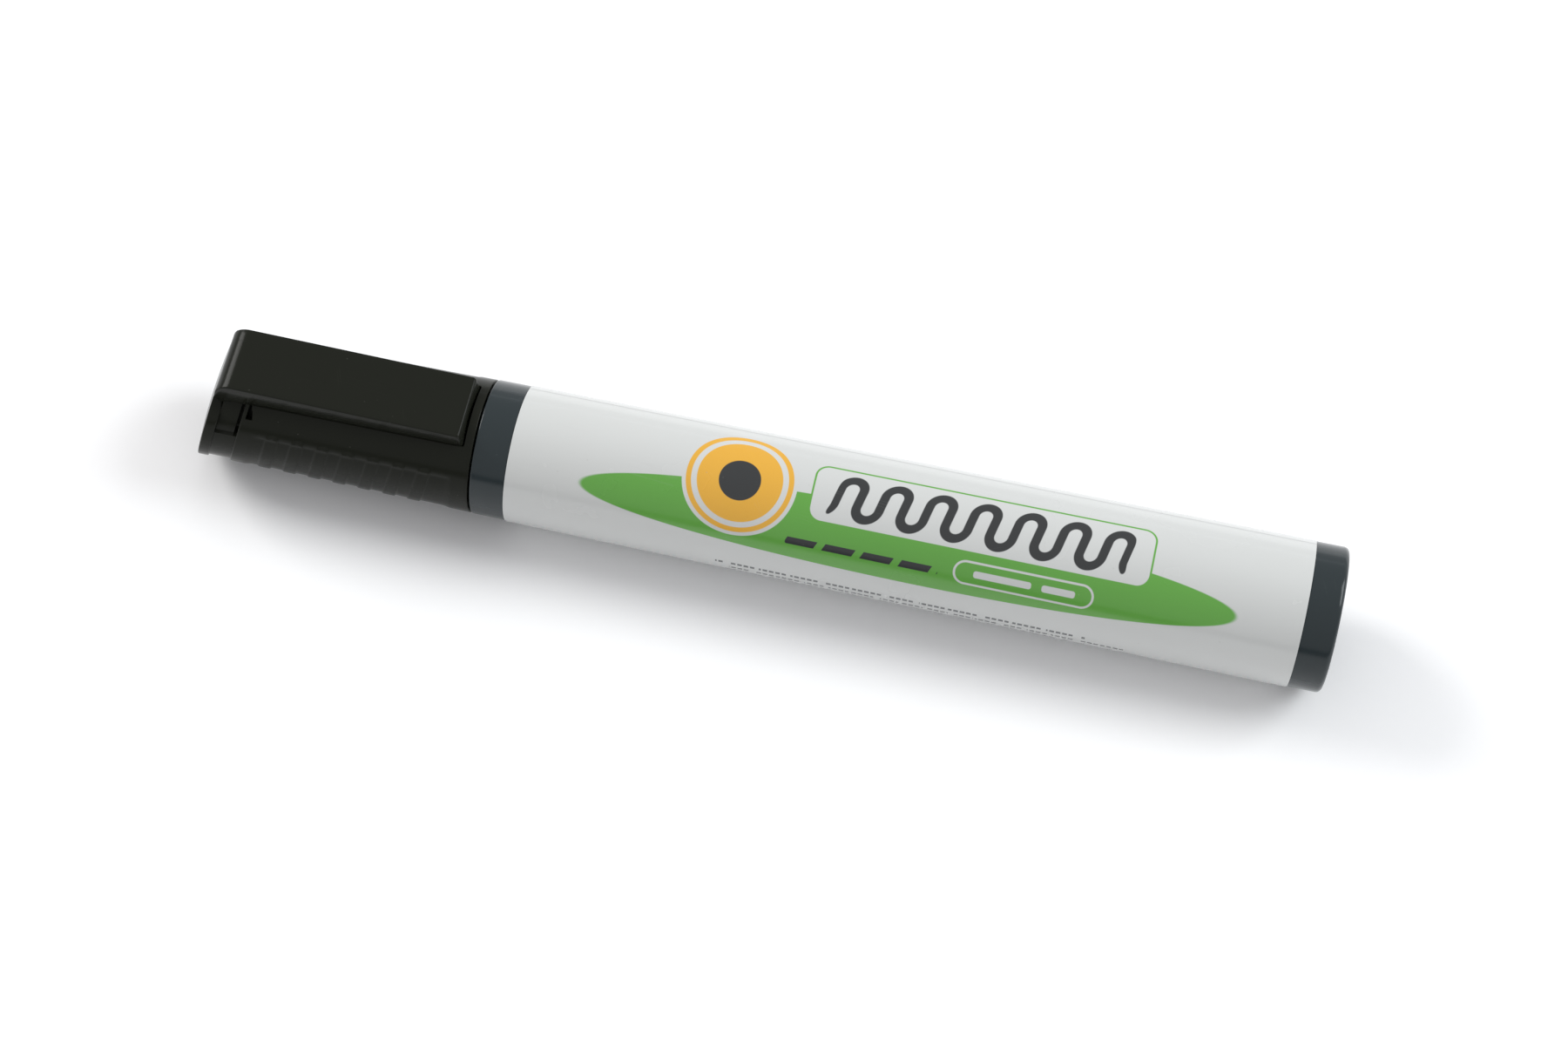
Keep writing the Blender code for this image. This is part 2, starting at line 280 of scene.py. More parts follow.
def makePatch():
    # distance in millimetres to the edge of a rounded rectangle, below 0 inside it
    names = ["Along", "Round", "MiddleAlong", "MiddleRound", "HalfAlong", "HalfRound", "Corner"]
    tree, inputs, outputs = newGroup("printedPatch", [(name, "NodeSocketFloat", 0) for name in names],
                                     [("Distance", "NodeSocketFloat")])
    sides = []
    for axis in ("Along", "Round"):
        away = calc(tree, "ABSOLUTE", calc(tree, "SUBTRACT", inputs[axis], inputs["Middle" + axis]))
        sides.append(calc(tree, "ADD", calc(tree, "SUBTRACT", away, inputs["Half" + axis]), inputs["Corner"]))
    outside = [calc(tree, "POWER", calc(tree, "MAXIMUM", side, 0), 2) for side in sides]
    corner = calc(tree, "SQRT", calc(tree, "ADD", *outside))
    inside = calc(tree, "MINIMUM", calc(tree, "MAXIMUM", *sides), 0)
    total = calc(tree, "SUBTRACT", calc(tree, "ADD", corner, inside), inputs["Corner"])
    tree.links.new(total, outputs["Distance"])
    return tree


handling = {
    # turn, scale and stretch of each set of scratches
    "lines": ((0.09, 700, 0.012), (-0.35, 620, 0.016), (1.2, 760, 0.014)),
    "lineWidth": (0.0015, 0.006), "patchScale": 190, "patches": (0.60, 0.70),
    "dustScale": 900, "dustSize": (0.03, 0.09), "dustPatchScale": 420, "dustPatches": (0.60, 0.68),
    "cloudScale": 120,
}


def makeHandling():
    # marks of use on plastic: hairline scratches, dust and a faint unevenness
    tree, inputs, outputs = newGroup(
        "handlingMarks", [("Scale", "NodeSocketFloat", 1)],
        [("Scratches", "NodeSocketFloat"), ("Dust", "NodeSocketFloat"), ("Cloud", "NodeSocketFloat")])
    place = tree.nodes.new("ShaderNodeTexCoord").outputs["Object"]

    def scaled(name):
        return calc(tree, "MULTIPLY", inputs["Scale"], handling[name])

    lines = []
    for tilt, amount, stretch in handling["lines"]:
        turn = tree.nodes.new("ShaderNodeVectorRotate")
        turn.rotation_type = "Z_AXIS"
        turn.inputs["Angle"].default_value = tilt
        tree.links.new(place, turn.inputs["Vector"])
        fine = calc(tree, "MULTIPLY", inputs["Scale"], amount)
        ripple = noiseOn(tree, turn.outputs[0], fine, 1.0, (stretch, 1, 1))
        ridge = calc(tree, "ABSOLUTE", calc(tree, "SUBTRACT", ripple, 0.5))
        line = calc(tree, "SUBTRACT", 1, fade(tree, ridge, *handling["lineWidth"]))
        patchy = fade(tree, noiseOn(tree, turn.outputs[0], scaled("patchScale"), 1.0), *handling["patches"])
        lines.append(calc(tree, "MULTIPLY", line, patchy))
    scratches = calc(tree, "MAXIMUM", calc(tree, "MAXIMUM", lines[0], lines[1]), lines[2])
    tree.links.new(scratches, outputs["Scratches"])
    cells = tree.nodes.new("ShaderNodeTexVoronoi")
    tree.links.new(place, cells.inputs["Vector"])
    tree.links.new(scaled("dustScale"), cells.inputs["Scale"])
    speck = calc(tree, "SUBTRACT", 1, fade(tree, cells.outputs["Distance"], *handling["dustSize"]))
    chosen = fade(tree, noiseOn(tree, place, scaled("dustPatchScale"), 0.0), *handling["dustPatches"])
    tree.links.new(calc(tree, "MULTIPLY", speck, chosen), outputs["Dust"])
    tree.links.new(noiseOn(tree, place, scaled("cloudScale"), 4.0), outputs["Cloud"])
    return tree


fibres = {
    "strandScale": 5200, "strandStretch": 0.12, "strandRough": 0.65, "clumpScale": 1100, "clumpStretch": 0.3,
}


def makeFibres():
    # felted or bundled fibre; the stretch runs along the pen
    tree, inputs, outputs = newGroup(
        "fibreGrain", [("Scale", "NodeSocketFloat", 1)],
        [("Strands", "NodeSocketFloat"), ("Clumps", "NodeSocketFloat")])
    place = tree.nodes.new("ShaderNodeTexCoord").outputs["Object"]
    strandScale = calc(tree, "MULTIPLY", inputs["Scale"], fibres["strandScale"])
    strands = noiseOn(tree, place, strandScale, 3.0, (fibres["strandStretch"], 1, 1), fibres["strandRough"])
    clumpScale = calc(tree, "MULTIPLY", inputs["Scale"], fibres["clumpScale"])
    clumps = noiseOn(tree, place, clumpScale, 2.0, (fibres["clumpStretch"], 1, 1))
    tree.links.new(strands, outputs["Strands"])
    tree.links.new(clumps, outputs["Clumps"])
    return tree


penPlace = makePenPlace()
printedPatch = makePatch()
handlingMarks = makeHandling()
fibreGrain = makeFibres()


def newMaterial(name, **sockets):
    looks = bpy.data.materials.new(name)
    looks.use_nodes = True
    shader = looks.node_tree.nodes["Principled BSDF"]
    for label, value in sockets.items():
        shader.inputs[label.replace("_", " ")].default_value = value
    return looks, looks.node_tree, shader


def bumpInto(tree, shader, height, distance):
    bump = tree.nodes.new("ShaderNodeBump")
    bump.inputs["Strength"].default_value = 1.0
    bump.inputs["Distance"].default_value = distance
    tree.links.new(height, bump.inputs["Height"])
    tree.links.new(bump.outputs[0], shader.inputs["Normal"])


plasticWear = {
    "scratchRough": 0.5, "cloudRough": 0.5, "dustPale": 0.5, "scratchPale": 0.05,
    "cloudBump": 0.6, "depth": 0.000003,
}


def mouldedPlastic(name, colour, dusty, roughness, **sockets):
    # moulded plastic with handling marks; roughness is (smooth, worn)
    looks, tree, shader = newMaterial(name, **sockets)
    marks = useGroup(tree, handlingMarks, Scale=1.0)

    def part(mark, share):
        return calc(tree, "MULTIPLY", marks[mark], plasticWear[share])

    worn = calc(tree, "ADD", part("Scratches", "scratchRough"), part("Cloud", "cloudRough"), clamp=True)
    tree.links.new(remap(tree, worn, *roughness), shader.inputs["Roughness"])
    pale = calc(tree, "ADD", part("Dust", "dustPale"), part("Scratches", "scratchPale"), clamp=True)
    tree.links.new(mixColour(tree, pale, colour, dusty), shader.inputs["Base Color"])
    grain = calc(tree, "SUBTRACT", part("Cloud", "cloudBump"), marks["Scratches"])
    bumpInto(tree, shader, grain, plasticWear["depth"])
    return looks


def slateLooks():
    return mouldedPlastic("slatePlastic", (0.023, 0.031, 0.034), (0.15, 0.17, 0.18), (0.14, 0.24),
                          IOR=1.49, Specular_IOR_Level=0.3)


def capLooks():
    return mouldedPlastic("blackPlastic", (0.0125, 0.0135, 0.0100), (0.08, 0.08, 0.07), (0.16, 0.27),
                          IOR=1.47, Specular_IOR_Level=0.11)


def holderLooks():
    return mouldedPlastic("holderPlastic", (0.016, 0.016, 0.017), (0.16, 0.16, 0.16), (0.34, 0.52), IOR=1.47)


def naturalLooks():
    return mouldedPlastic("naturalPlastic", (0.66, 0.66, 0.61), (0.50, 0.49, 0.45), (0.38, 0.55),
                          IOR=1.51, Subsurface_Weight=0.25, Subsurface_Scale=0.0012)


printedLabel = {
    "film": (0.565, 0.575, 0.565), "green": (0.105, 0.335, 0.046), "amber": (0.70, 0.37, 0.036),
    "ink": (0.022, 0.024, 0.025), "greyInk": (0.10, 0.105, 0.11), "roll": 8.25,
    "lensAlong": 46.25, "lensAngle": 40.2, "lensLength": 37.7, "lensHeight": 4.25,
    "spotAlong": 26.4, "spotAngle": 12.5, "spotEdge": 6.6, "ringRadius": 5.85, "ringWidth": 0.6,
    "spotRadius": 4.9, "heartRadius": 2.4,
    # patches are middle along, middle angle, half length, half height, corner
    "field": (54.2, 8.5, 19.6, 3.55, 1.6), "fieldLine": 0.22,
    "strokeAngle": 9.0, "strokeBeats": 13, "strokeBeat": 2.55, "strokeRise": 0.95, "strokeSlant": 0.22,
    "strokeHalf": 0.52,
    "dashes": (41.5, 52.5, 8.8, 0.45, 0.2), "dashBeat": 4.4, "dashSlant": 0.45, "dashGap": (0.20, 0.22),
    "pill": (60.0, 49.0, 7.9, 1.35, 1.3), "pillLine": 0.26,
    "pillBars": ((57.6, 49.0, 3.3, 0.42, 0.3), (64.0, 49.0, 1.9, 0.42, 0.3)),
    # fine print: angle, start, end and beat of its words
    "fineLines": ((93.5, 25, 68, 3.7), (102.5, 26.6, 73, 2.9), (111.5, 26, 66, 4.3), (120.5, 27, 71, 3.1)),
    "fineHalf": 0.26, "wordGap": (0.16, 0.18), "wordJitter": 0.09,
    "letterRate": 1.35, "letterGap": (0.22, 0.30),
    # the seam's width, share and grey paint a thin line of shade along the overlap's edge
    "seamAngle": -42.6, "seamShadeWidth": (0.05, 0.17), "seamShadeShare": 0.6, "seamShadeGrey": (0.36, 0.36, 0.36),
    "marksScale": 0.8, "dustShare": 0.25, "dustGrey": (0.35, 0.34, 0.32),
    "scratchShare": 0.06, "scratchGrey": (0.45, 0.45, 0.45), "roughness": (0.18, 0.34), "waviness": 0.000012,
}


def labelLooks():
    art = printedLabel
    looks, tree, shader = newMaterial("printedFilm", IOR=1.5, Coat_Weight=0.35, Coat_Roughness=0.1)
    place = useGroup(tree, penPlace)
    along = place["Along"]
    around = calc(tree, "MULTIPLY", place["Around"], art["roll"])  # millimetres round the label
    colour = mixColour(tree, 0.0, art["film"], art["film"])

    def minus(first, second):
        return calc(tree, "SUBTRACT", first, second)

    def times(first, second):
        return calc(tree, "MULTIPLY", first, second)

    def longSide(first, second):
        squares = [calc(tree, "POWER", side, 2) for side in (first, second)]
        return calc(tree, "SQRT", calc(tree, "ADD", *squares))

    def turnOf(degrees):
        return math.radians(degrees) * art["roll"]

    def patch(middleAlong, middleAngle, halfAlong, halfRound, corner):
        return useGroup(tree, printedPatch, Along=along, Round=around, MiddleAlong=middleAlong,
                        MiddleRound=turnOf(middleAngle), HalfAlong=halfAlong, HalfRound=halfRound,
                        Corner=corner)["Distance"]

    def fill(distance, edge=0.05):
        return minus(1, fade(tree, distance, -edge, edge))

    def outline(distance, width):
        return fill(minus(calc(tree, "ABSOLUTE", distance), width / 2))

    def circle(middleAlong, middleAngle, stretch=1.0):
        return longSide(calc(tree, "DIVIDE", minus(along, middleAlong), stretch),
                        minus(around, turnOf(middleAngle)))

    def paint(mask, shade):
        nonlocal colour
        colour = mixColour(tree, mask, colour, shade)

    lens = circle(art["lensAlong"], art["lensAngle"], art["lensLength"] / art["lensHeight"])
    paint(fill(minus(lens, art["lensHeight"]), 0.04), art["green"])

    # round amber spot with a dark middle, ringed in white
    spot = circle(art["spotAlong"], art["spotAngle"])
    paint(fill(minus(spot, art["spotEdge"])), art["film"])
    paint(outline(minus(spot, art["ringRadius"]), art["ringWidth"]), art["amber"])
    paint(fill(minus(spot, art["spotRadius"])), art["amber"])
    paint(fill(minus(spot, art["heartRadius"])), art["ink"])

    # white field with a thin green outline
    field = patch(*art["field"])
    paint(fill(field), art["green"])
    paint(fill(calc(tree, "ADD", field, art["fieldLine"])), art["film"])

    # a back-and-forth stroke of the marker: half circles above and below, joined by slanted lines
    beat = art["strokeBeat"]
    first = art["field"][0] - art["strokeBeats"] * beat / 2
    last = art["field"][0] + art["strokeBeats"] * beat / 2
    upward = minus(around, turnOf(art["strokeAngle"]))
    slanted = calc(tree, "ADD", along, times(upward, art["strokeSlant"]))
    toUpper = calc(tree, "PINGPONG", minus(slanted, first + beat / 2), beat)
    below = calc(tree, "GREATER_THAN", upward, 0)
    aside = calc(tree, "ABSOLUTE", minus(times(below, beat), toUpper))
    beyond = calc(tree, "MAXIMUM", minus(calc(tree, "ABSOLUTE", upward), art["strokeRise"]), 0)
    toLine = minus(longSide(aside, beyond), beat / 2)
    pastEnd = calc(tree, "MAXIMUM", calc(tree, "MAXIMUM", minus(first, slanted), minus(slanted, last)), 0)
    paint(fill(minus(longSide(toLine, pastEnd), art["strokeHalf"]), 0.06), art["ink"])

    # dark dashes and an outlined pill on the green
    dashPlace = calc(tree, "ADD", along, times(around, art["dashSlant"]))
    dash = fade(tree, calc(tree, "FRACT", calc(tree, "DIVIDE", dashPlace, art["dashBeat"])), *art["dashGap"])
    paint(times(dash, fill(patch(*art["dashes"]))), art["ink"])
    paint(outline(patch(*art["pill"]), art["pillLine"]), art["film"])
    for bar in art["pillBars"]:
        paint(fill(patch(*bar)), art["film"])

    # fine print, as broken grey lines
    for angle, start, end, wordBeat in art["fineLines"]:
        word = calc(tree, "DIVIDE", along, wordBeat)
        jitter = times(calc(tree, "SINE", times(calc(tree, "FLOOR", word), 2.4)), art["wordJitter"])
        words = fade(tree, calc(tree, "ADD", calc(tree, "FRACT", word), jitter), *art["wordGap"])
        line = fill(patch((start + end) / 2, angle, (end - start) / 2, art["fineHalf"], 0.1), 0.04)
        letters = fade(tree, calc(tree, "FRACT", times(along, art["letterRate"])), *art["letterGap"])
        paint(times(times(words, letters), line), art["greyInk"])

    # a thin grey line painted along the overlap's edge as shade at the film's step, and the marks of handling
    seam = calc(tree, "ABSOLUTE", minus(around, turnOf(art["seamAngle"])))
    paint(times(minus(1, fade(tree, seam, *art["seamShadeWidth"])), art["seamShadeShare"]), art["seamShadeGrey"])
    marks = useGroup(tree, handlingMarks, Scale=art["marksScale"])
    paint(times(marks["Dust"], art["dustShare"]), art["dustGrey"])
    paint(times(marks["Scratches"], art["scratchShare"]), art["scratchGrey"])
    tree.links.new(colour, shader.inputs["Base Color"])
    tree.links.new(remap(tree, marks["Cloud"], *art["roughness"]), shader.inputs["Roughness"])
    bumpInto(tree, shader, marks["Cloud"], art["waviness"])
    return looks


def coreLooks():
    looks, tree, shader = newMaterial("inkedFibre", Specular_IOR_Level=0.2)
    grain = useGroup(tree, fibreGrain, Scale=1.0)
    inked = mixColour(tree, grain["Clumps"], (0.05, 0.055, 0.07), (0.16, 0.17, 0.20))
    tree.links.new(inked, shader.inputs["Base Color"])
    tree.links.new(remap(tree, grain["Strands"], 0.8, 1.0), shader.inputs["Roughness"])
    bumpInto(tree, shader, grain["Strands"], 0.00012)
    return looks


def nibLooks():
    looks, tree, shader = newMaterial("inkedFelt", Specular_IOR_Level=0.3)
    grain = useGroup(tree, fibreGrain, Scale=1.4)
    inked = mixColour(tree, grain["Strands"], (0.008, 0.008, 0.011), (0.035, 0.035, 0.042))
    tree.links.new(inked, shader.inputs["Base Color"])
    tree.links.new(remap(tree, grain["Clumps"], 0.5, 0.95), shader.inputs["Roughness"])
    bumpInto(tree, shader, grain["Strands"], 0.00008)
    return looks


def filmLooks():
    looks, tree, shader = newMaterial("milkyFilm", IOR=1.48)
    marks = useGroup(tree, handlingMarks, Scale=1.2)
    milky = mixColour(tree, marks["Cloud"], (0.66, 0.69, 0.71), (0.78, 0.80, 0.81))
    tree.links.new(milky, shader.inputs["Base Color"])
    tree.links.new(remap(tree, marks["Cloud"], 0.15, 0.4), shader.inputs["Roughness"])
    bumpInto(tree, shader, marks["Cloud"], 0.00004)
    return looks


barrelTube = {"columns": 192, "bore": 6.25, "frontBreak": 0.18, "tailRounding": 0.62, "boreBreak": 0.15}


def makeBarrel(looks):
    sizes = barrelTube
    corners = [
        (shoulder, sizes["bore"], sizes["boreBreak"]), (shoulder, bandRadius(shoulder), sizes["frontBreak"]),
        (tailEnd, bandRadius(tailEnd), sizes["tailRounding"]), (tailEnd, sizes["bore"], sizes["boreBreak"]),
    ]
    work = turned(corners, sizes["columns"])
    return finishPiece("barrelTube", work, looks, "barrel_body", ["barrel"])


wrapLabel = {"columns": 256, "film": 0.05, "lap": 3.0, "lapHeight": 0.05, "edgeRounding": 0.015}


def makeLabel(looks):
    sizes = wrapLabel
    inner, outer = labelRadius(0) - sizes["film"], labelRadius(0)
    rise = labelRadius(labelEnd) - labelRadius(0)
    corners = [(0, inner, 0), (0, outer, sizes["edgeRounding"]),
               (labelEnd, outer + rise, sizes["edgeRounding"]), (labelEnd, inner + rise, 0)]
    work = turned(corners, sizes["columns"])
    seam = math.radians(printedLabel["seamAngle"])
    column = math.tau / sizes["columns"]
    lap = sizes["lap"] / penSizes["rearRadius"]
    for vert in work.verts:
        past = math.remainder(seam - aroundTop(vert), math.tau)
        radius = math.hypot(vert.co.y, vert.co.z)
        onTop = radius > labelRadius(vert.co.x) - sizes["film"] / 2
        if onTop and -column / 2 < past < lap:
            # the free end lies on the film below and slopes back to it
            lift = 1 + sizes["lapHeight"] * (1 - smoothStep(0.4 * lap, lap, past)) / radius
            vert.co.y *= lift
            vert.co.z *= lift
    return finishPiece("wrapLabel", work, looks, "barrel_body", ["label"])


tailPlug = {
    "columns": 128, "gap": 0.12, "length": 8.0, "wall": 1.4, "dish": 0.35, "rim": 1.3, "slope": 0.35,
    "gateRadius": 0.9, "gateSlope": 0.2, "gateDepth": 0.18, "leadLength": 0.6,
}


def makeTailPlug(looks):
    sizes = tailPlug
    radius = barrelTube["bore"] - sizes["gap"]
    front = tailEnd - sizes["length"]
    back = tailEnd - sizes["wall"]
    gateFloor = tailEnd - sizes["dish"]
    face = gateFloor + sizes["gateDepth"]
    rim = radius - sizes["rim"]
    corners = [
        (gateFloor, 0, 0), (gateFloor, sizes["gateRadius"], 0.1),
        (face, sizes["gateRadius"] + sizes["gateSlope"], 0.1), (face, rim, 0.2),
        (tailEnd, rim + sizes["slope"], 0.2), (tailEnd, radius, 0.2),
        (front + sizes["leadLength"], radius, 0.2), (front, radius - sizes["slope"], 0.1),
        (front, radius - sizes["wall"], 0.1), (back, radius - sizes["wall"], 0.5), (back, 0, 0),
    ]
    work = turned(corners, sizes["columns"])
    return finishPiece("tailPlug", work, looks, "barrel_body", ["rear_plug"])


inkCore = {
    "columns": 96, "rings": 60, "socketDepth": 6.0, "edge": 0.5, "socketGap": 0.1,
    "unevenScale": 0.55, "unevenDepth": 0.06,
}


def makeInkCore(looks):
    sizes = inkCore
    front, rear = span("ink_reservoir")
    full = reach("ink_reservoir")
    socket = reach("nib") + sizes["socketGap"]
    bottom = front + sizes["socketDepth"]
    corners = [
        (bottom, 0, 0), (bottom, socket, 0.3), (front, socket, 0.3),
        (front, full, sizes["edge"]), (rear, full, sizes["edge"]), (rear, 0, 0),
    ]
    work = turned(corners, sizes["columns"], [(front, rear, sizes["rings"])])
    for vert in work.verts:
        # the bundle's outside is slightly uneven
        radius = math.hypot(vert.co.y, vert.co.z)
        if radius > full * 0.8:
            drop = abs(noise.noise(vert.co * sizes["unevenScale"])) * sizes["unevenDepth"]
            vert.co.y -= vert.co.y / radius * drop
            vert.co.z -= vert.co.z / radius * drop
    return finishPiece("inkCore", work, looks, "barrel_body", ["ink_reservoir"])


coreWrap = {
    "columns": 96, "rings": 40, "gap": 0.05, "film": 0.12, "lapFrom": 2.0, "lap": 2.5, "lapHeight": 0.08,
}


def makeCoreWrap(looks):
    sizes = coreWrap
    front, rear = span("reservoir_wrap")
    inner = reach("ink_reservoir") + sizes["gap"]
    outer = inner + sizes["film"]
    corners = [(front, inner, 0), (front, outer, 0.04), (rear, outer, 0.04), (rear, inner, 0)]
    work = turned(corners, sizes["columns"], [(front, rear, sizes["rings"])])
    lap = sizes["lap"] / outer
    for vert in work.verts:
        past = math.remainder(aroundTop(vert) - sizes["lapFrom"], math.tau)
        radius = math.hypot(vert.co.y, vert.co.z)
        if radius > inner + sizes["film"] / 2 and 0 < past < lap:
            lift = 1 + sizes["lapHeight"] * (1 - smoothStep(0.5 * lap, lap, past)) / radius
            vert.co.y *= lift
            vert.co.z *= lift
    return finishPiece("coreWrap", work, looks, "barrel_body", ["reservoir_wrap"])


feltNib = {
    "columns": 96, "rings": 40, "tipRound": 2.6, "tipFrom": 12, "rearBreak": 0.4,
    "wear": 0.012, "wearScale": 1.7,
}


def makeNib(looks):
    sizes = feltNib
    tip, rear = span("nib")
    radius = reach("nib")
    rounding = [(tip + sizes["tipRound"] * (1 - math.cos(angle)), radius * math.sin(angle), 0)
                for angle in evenSteps(math.radians(sizes["tipFrom"]), math.pi / 2, 14)]
    corners = [(rounding[0][0], 0, 0), *rounding, (rear, radius, sizes["rearBreak"]), (rear, 0, 0)]
    mouth = span("nib_holder")[0]
    work = turned(corners, sizes["columns"], [(tip + sizes["tipRound"], rear, sizes["rings"])])
    for vert in work.verts:
        if vert.co.x < mouth:
            # pressed fibre, a little worn and uneven at the writing end
            vert.co.y *= 1 + sizes["wear"] * noise.noise(vert.co * sizes["wearScale"])
            vert.co.z *= 1 + sizes["wear"] * noise.noise(vert.co * sizes["wearScale"] + Vector((9, 0, 0)))
    return finishPiece("feltNib", work, looks, "barrel_body", ["nib"])


nibHolder = {
    "columns": 144, "rings": 6, "boreGap": 0.12, "mouthRadius": 3.1,
    "sealRadius": 4.2, "sealFront": -14.5, "sealRear": -11.0,
    "neckRadius": 4.9, "neckFront": -10.5, "neckRear": 0.05,
    "beadHeight": 0.17, "beadAlong": -6.6, "beadWidth": 0.9, "plugDrop": 0.1, "plugLead": 0.3,
    "ventCount": 8, "ventColumns": 3, "ventFrom": -3.2, "ventTo": -0.7, "ventBeyond": 2.8, "ventDepth": 0.35,
}


def makeNibHolder(looks):
    sizes = nibHolder
    mouth, rear = span("nib_holder")
    bore = reach("nib") + sizes["boreGap"]
    plug = reach("nib_holder")
    bead, half = sizes["beadAlong"], sizes["beadWidth"] / 2
    corners = [
        (mouth, bore, 0.08), (mouth, sizes["mouthRadius"], 0.3),
        (sizes["sealFront"], sizes["sealRadius"], 0.3), (sizes["sealRear"], sizes["sealRadius"], 0.1),
        (sizes["neckFront"], sizes["neckRadius"], 0.15),
        (bead - half, sizes["neckRadius"], 0.1), (bead, sizes["neckRadius"] + sizes["beadHeight"], 0.25),
        (bead + half, sizes["neckRadius"], 0.1),
        (shoulder - sizes["neckRear"], sizes["neckRadius"], 0.2), (shoulder, plug - sizes["plugDrop"], 0.04),
        (shoulder + sizes["plugLead"], plug, 0.1), (rear, plug, 0.3), (rear, bore, 0.15),
    ]
    work = turned(corners, sizes["columns"], [(mouth, sizes["sealFront"], sizes["rings"])])
    perVent = sizes["columns"] // sizes["ventCount"]

    def inVent(face):
        along, across, up = face.calc_center_median()
        column = int(math.degrees(math.atan2(across, up)) % 360 / 360 * sizes["columns"])
        return (sizes["ventFrom"] < along - sizes["sealFront"] < sizes["ventTo"]
                and math.hypot(across, up) > sizes["ventBeyond"] and column % perVent < sizes["ventColumns"])

    # air vents: slots pressed into the nose cone
    slots = [face for face in work.faces if inVent(face)]
    pushIn(work, slots, sizes["ventDepth"])
    return finishPiece("nibHolder", work, looks, "barrel_body", ["nib_holder"])


innerCup = {
    "columns": 128, "wall": 0.6, "floor": 0.8, "lipWidth": 0.5, "lipHeight": 0.12, "lipSlope": 0.2,
    "mouthFlare": 0.15, "mouthLead": 0.5,
}


def makeInnerCap(looks):
    sizes = innerCup
    closed, mouth = span("inner_cap")
    outer = reach("inner_cap")
    inner = outer - sizes["wall"]
    floor = closed + sizes["floor"]
    lipRadius = outer + sizes["lipHeight"]
    lipFrom = mouth - sizes["lipWidth"]
    corners = [
        (closed, 0, 0), (closed, outer, 0.4), (lipFrom - sizes["lipSlope"], outer, 0.1),
        (lipFrom, lipRadius, 0.05), (mouth, lipRadius, 0.1), (mouth, inner + sizes["mouthFlare"], 0.1),
        (mouth - sizes["mouthLead"], inner, 0.2), (floor, inner, 0.5), (floor, 0, 0),
    ]
    work = turned(corners, sizes["columns"])
    return finishPiece("innerCup", work, looks, "inner_cap_body", ["inner_cap"])


capShell = {
    "columns": 248, "rings": 220, "bore": 5.4, "boreEnd": -28.8, "skinFrom": 5.9,
    "mouthBreak": 0.12, "mouthReach": 0.1, "endBreak": 0.2,
    "lean": 0.24, "leanFrom": -4.9, "leanFull": -9.3, "bodyEnd": -32.5, "plateInner": -35.1,
    "neckRadius": 7.3, "neckTop": 3.0, "neckGap": 0.1, "slotRadius": 6.95,
    "grooveRadius": 6.1, "grooveWidth": 0.32, "grooveLip": 0.08,
    "channelFloor": 5.75, "channelHalf": 4.01, "channelRear": -5.26, "channelColumn": 22,
    "channelBreak": 0.13, "blendEnd": 75,
    "gripFrom": -30.3, "gripTo": -6.9, "gripEase": 0.6, "gripDepth": 0.15,
    "gripTopAngle": 62, "gripFarAngle": 55, "gripTurn": 0.03,
    "ribCount": 7, "ribFirst": -28.35, "ribPitch": 3.0, "ribWidth": 1.8, "ribHeight": 0.15, "ribFlare": 0.28,
    "ribTopAngle": 57.5, "ribFarAngle": 78,
    "scoopFrom": -32.1, "scoopTo": -31.45, "scoopLow": 33, "scoopHigh": 47, "scoopDepth": 1.4,
    "scoopWiden": 0.22, "scoopEase": 0.6, "scoopReach": 1.6,
}
near = 0.01  # two places closer than this are the same


def ribHeight(along, angle):
    # height of the grip ribs at a place on the cap; each has a round end on both sides
    sizes = capShell
    number = round((along - sizes["ribFirst"]) / sizes["ribPitch"])
    if not 0 <= number < sizes["ribCount"]:
        return 0
    aside = abs(along - sizes["ribFirst"] - sizes["ribPitch"] * number)
    top = sizes["ribTopAngle"] if angle > 0 else sizes["ribFarAngle"]
    below = (abs(angle) - math.radians(top)) * capRadius(along)
    half = sizes["ribWidth"] / 2
    inside = half - math.hypot(aside, half - below) if below < half else half - aside
    return sizes["ribHeight"] * smoothStep(0, sizes["ribFlare"], inside)


def gripDrop(along, angle):
    # the ribs stand in a shallow hollow that ends short of the clip and of the mouth
    sizes = capShell
    ease = sizes["gripEase"]
    length = smoothStep(sizes["gripFrom"] - ease, sizes["gripFrom"] + ease, along)
    length *= 1 - smoothStep(sizes["gripTo"] - ease, sizes["gripTo"] + ease, along)
    top = math.radians(sizes["gripTopAngle"] if angle > 0 else sizes["gripFarAngle"])
    down = smoothStep(top - sizes["gripTurn"], top + sizes["gripTurn"], abs(angle))
    return sizes["gripDepth"] * length * down


def evenedTurn(turn, radius):
    # moves the columns round, so that one column of points follows each edge of the channel
    sizes = capShell
    edge = math.asin(sizes["channelHalf"] / max(radius, sizes["slotRadius"]))
    first = sizes["channelColumn"] * math.tau / sizes["columns"]
    blendEnd = math.radians(sizes["blendEnd"])
    if turn <= first:
        return turn * edge / first
    if turn < blendEnd:
        return turn + (edge - first) * (blendEnd - turn) / (blendEnd - first)
    return turn


